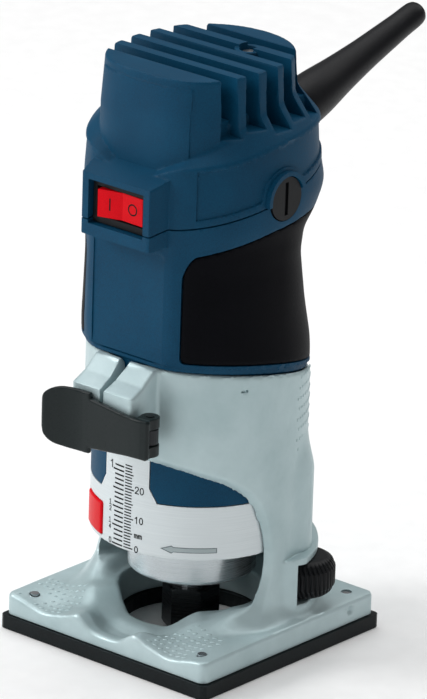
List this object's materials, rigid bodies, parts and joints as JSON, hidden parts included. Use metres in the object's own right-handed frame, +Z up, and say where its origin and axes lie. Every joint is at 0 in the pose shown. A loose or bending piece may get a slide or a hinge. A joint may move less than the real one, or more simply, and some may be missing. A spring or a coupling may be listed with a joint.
{
  "type": "trim router",
  "caption": "Compact fixed-base trim router: cylindrical motor unit that slides in a clamping cast base on a square sub-base, with height adjuster, rocker switch and collet.",
  "frame": {"origin": "centre of the outline on the plane it stands on; the spindle axis is at y = -28.44 mm", "axes": "+Z up along the spindle, -Y front with depth scale, clamp lever and switch, +X the operator right"},
  "size_m": [0.09, 0.1688, 0.203],
  "materials": {
    "cast_alloy": "fine satin cast, silver-grey lacquer",
    "machined_alloy": "satin machined",
    "tool_steel": "bright",
    "black_steel": "black oxide, satin",
    "lever_black": "dark grey satin coat",
    "blue_plastic": "fine moulded texture",
    "grip_rubber": "matte soft grip",
    "black_plastic": "moulded",
    "red_plastic": "glossy",
    "copper": null,
    "carbon": "carbon block",
    "laminated_steel": "stacked electrical steel",
    "brass": "drawn"
  },
  "bodies": {
    "base": {"base_casting": "cast_alloy", "sub_base": "black_plastic", "sub_base_screw_1": "tool_steel", "sub_base_screw_2": "tool_steel", "sub_base_screw_3": "tool_steel", "sub_base_screw_4": "tool_steel", "clamp_bolt": "tool_steel", "clamp_nut": "tool_steel", "clamp_washer": "tool_steel", "lever_pin": "tool_steel"},
    "lever": {"clamp_lever": "lever_black"},
    "adjuster": {"adjust_wheel": "black_plastic", "adjust_screw": "tool_steel"},
    "carriage": {"adjust_carriage": "tool_steel"},
    "motor": {"gear_end_casing": "machined_alloy", "bearing_flange": "machined_alloy", "lower_bearing": "tool_steel", "bearing_retainer": "tool_steel", "motor_housing": "blue_plastic", "top_cover": "blue_plastic", "brush_cap_right": "black_plastic", "brush_cap_left": "black_plastic", "brush_holder_right": "brass", "brush_holder_left": "brass", "carbon_brush_right": "carbon", "carbon_brush_left": "carbon", "brush_spring_right": "tool_steel", "brush_spring_left": "tool_steel", "grip_right": "grip_rubber", "grip_left": "grip_rubber", "switch_body": "black_plastic", "upper_bearing": "tool_steel", "bearing_boot": "grip_rubber", "stator_core": "laminated_steel", "field_coil_upper": "copper", "field_coil_lower": "copper", "cord_guard": "grip_rubber", "cord_clamp": "black_plastic", "cover_screw": "tool_steel"},
    "spindle": {"armature_shaft": "tool_steel", "cooling_fan": "black_plastic", "rotor_core": "laminated_steel", "commutator": "copper", "collet": "tool_steel"},
    "nut": {"collet_nut": "black_steel"},
    "rocker": {"switch_rocker": "red_plastic"},
    "lock_button": {"spindle_lock_button": "red_plastic"}
  },
  "joints": [
    {"name": "lever_swing", "type": "hinge", "parent": "base", "child": "lever", "pos_m": [0.0175, -0.07224, 0.0854], "axis": [0, 0, 1], "range_deg": [0, 115]},
    {"name": "wheel_turn", "type": "hinge", "parent": "base", "child": "adjuster", "pos_m": [0.033, -0.01044, 0.024], "axis": [0, 0, 1], "range_deg": [0, 1800]},
    {"name": "carriage_travel", "type": "slide", "parent": "base", "child": "carriage", "axis": [0, 0, 1], "range_m": [0, 0.005]},
    {"name": "motor_height", "type": "slide", "parent": "base", "child": "motor", "axis": [0, 0, 1], "range_m": [0, 0.028]},
    {"name": "spindle_spin", "type": "hinge", "parent": "motor", "child": "spindle", "pos_m": [0, -0.02844, 0.03], "axis": [0, 0, 1], "continuous": true},
    {"name": "nut_turn", "type": "hinge", "parent": "spindle", "child": "nut", "pos_m": [0, -0.02844, 0.009], "axis": [0, 0, 1], "range_deg": [0, 720]},
    {"name": "rocker_tilt", "type": "hinge", "parent": "motor", "child": "rocker", "pos_m": [0, -0.06444, 0.159], "axis": [0, 0, -1], "range_deg": [0, 14]},
    {"name": "lock_press", "type": "slide", "parent": "motor", "child": "lock_button", "axis": [0.515, 0.8572, 0], "range_m": [0, 0.003], "stiffness_N_per_m": 600, "springref_m": -0.004}
  ],
  "couplings": [
    {"joint": "wheel_turn", "follows": "carriage_travel", "rad_per_m": 6283.2}
  ]
}
